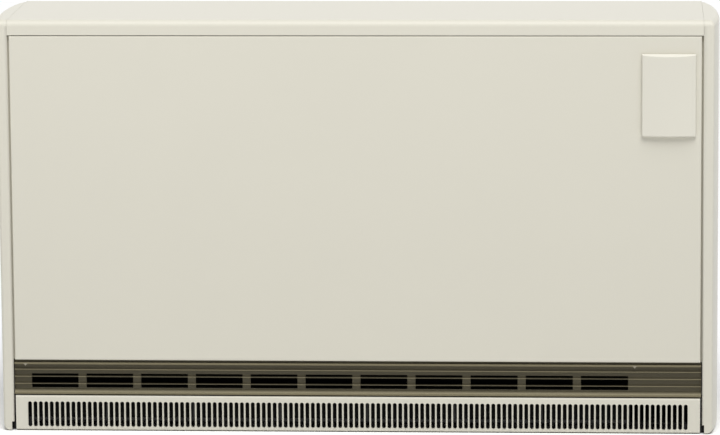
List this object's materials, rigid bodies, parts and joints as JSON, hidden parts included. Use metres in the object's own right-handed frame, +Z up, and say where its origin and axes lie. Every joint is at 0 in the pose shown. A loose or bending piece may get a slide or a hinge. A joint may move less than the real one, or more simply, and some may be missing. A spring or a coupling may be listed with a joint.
{
  "type": "storage heater",
  "caption": "Wide fan-assisted electric storage heater with a slotted plinth, a dark louvred outlet, bulged sides and a control flap at the upper right.",
  "frame": {"origin": "on the floor, under the middle of the heater's overall box", "axes": "+X along the front, to the right as seen from the room; +Y from the room to the wall; +Z up"},
  "size_m": [1.12, 0.25, 0.645],
  "materials": {
    "cream_enamel": "fine powder coat",
    "bronze_paint": "satin stoved paint",
    "black_paint": "stoved black",
    "cream_plastic": "fine grain",
    "dark_plastic": "fine grain",
    "zinc_sheet": "zinc coated sheet",
    "bright_steel": "zinc plated",
    "insulation_board": "pressed mineral board",
    "storage_brick": "fired iron oxide",
    "element_sheath": "heat tinted sheath",
    "white_ceramic": "unglazed",
    "fan_aluminium": "mill finish",
    "sintered_bronze": "sintered",
    "copper_winding": "enamelled wire",
    "filter_gauze": "fine gauze",
    "control_grey": "fine grain",
    "red_lens": "clear tinted"
  },
  "bodies": {
    "heater": {"left_side_panel": "cream_enamel", "right_side_panel": "cream_enamel", "top_cover": "cream_enamel", "front_panel": "cream_enamel", "plinth_grille": "cream_enamel", "outlet_grille": "bronze_paint", "left_carcass_wall": "zinc_sheet", "right_carcass_wall": "zinc_sheet", "rear_wall": "zinc_sheet", "base_tray": "black_paint", "feet": "dark_plastic", "wall_brackets": "zinc_sheet", "bracket_screws": "bright_steel", "cable_gland": "dark_plastic", "core_floor": "zinc_sheet", "core_front_cover": "zinc_sheet", "core_top_cover": "zinc_sheet", "floor_insulation": "insulation_board", "front_insulation": "insulation_board", "rear_insulation": "insulation_board", "left_insulation": "insulation_board", "right_insulation": "insulation_board", "top_insulation": "insulation_board", "bricks_layer_1": "storage_brick", "bricks_layer_2": "storage_brick", "bricks_layer_3": "storage_brick", "heating_elements": "element_sheath", "element_bushes": "white_ceramic", "fan_end_plates": "zinc_sheet", "fan_bearings": "sintered_bronze", "fan_scrolls": "zinc_sheet", "fan_tongues": "zinc_sheet", "motor_stator": "element_sheath", "motor_coil": "copper_winding", "motor_bracket": "zinc_sheet", "outlet_duct": "black_paint", "damper_bushes": "sintered_bronze", "damper_actuator": "dark_plastic", "filter_frame": "dark_plastic", "filter_mesh": "filter_gauze", "bay_partition": "zinc_sheet", "core_sensor": "bright_steel", "safety_limiter": "white_ceramic", "charge_controller": "dark_plastic", "terminal_block": "control_grey", "control_recess": "cream_plastic", "thermostat": "dark_plastic", "switch_housing": "dark_plastic", "charge_lamp": "red_lens"},
    "flap": {"control_flap": "cream_plastic"},
    "knob": {"thermostat_knob": "control_grey", "knob_spindle": "bright_steel"},
    "rocker": {"rocker_switch": "dark_plastic"},
    "fan": {"fan_shaft": "bright_steel", "fan_impeller_left": "fan_aluminium", "fan_impeller_right": "fan_aluminium", "motor_rotor": "bright_steel"},
    "damper": {"damper_shaft": "bright_steel", "damper_blade": "black_paint"}
  },
  "joints": [
    {"name": "flap_hinge", "type": "hinge", "parent": "heater", "child": "flap", "pos_m": [0.482, -0.1187, 0.4682], "axis": [1, 0, 0], "range_deg": [0, 95]},
    {"name": "knob_turn", "type": "hinge", "parent": "heater", "child": "knob", "pos_m": [0.482, -0.0835, 0.5549], "axis": [0, 1, 0], "range_deg": [-135, 135]},
    {"name": "rocker_tip", "type": "hinge", "parent": "heater", "child": "rocker", "pos_m": [0.468, -0.0785, 0.4964], "axis": [-1, 0, 0], "range_deg": [0, 16]},
    {"name": "fan_spin", "type": "hinge", "parent": "heater", "child": "fan", "pos_m": [-0.0385, 0.032, 0.06], "axis": [1, 0, 0], "continuous": true},
    {"name": "damper_turn", "type": "hinge", "parent": "heater", "child": "damper", "pos_m": [-0.0385, -0.0525, 0.108], "axis": [1, 0, 0], "range_deg": [0, 60]}
  ]
}
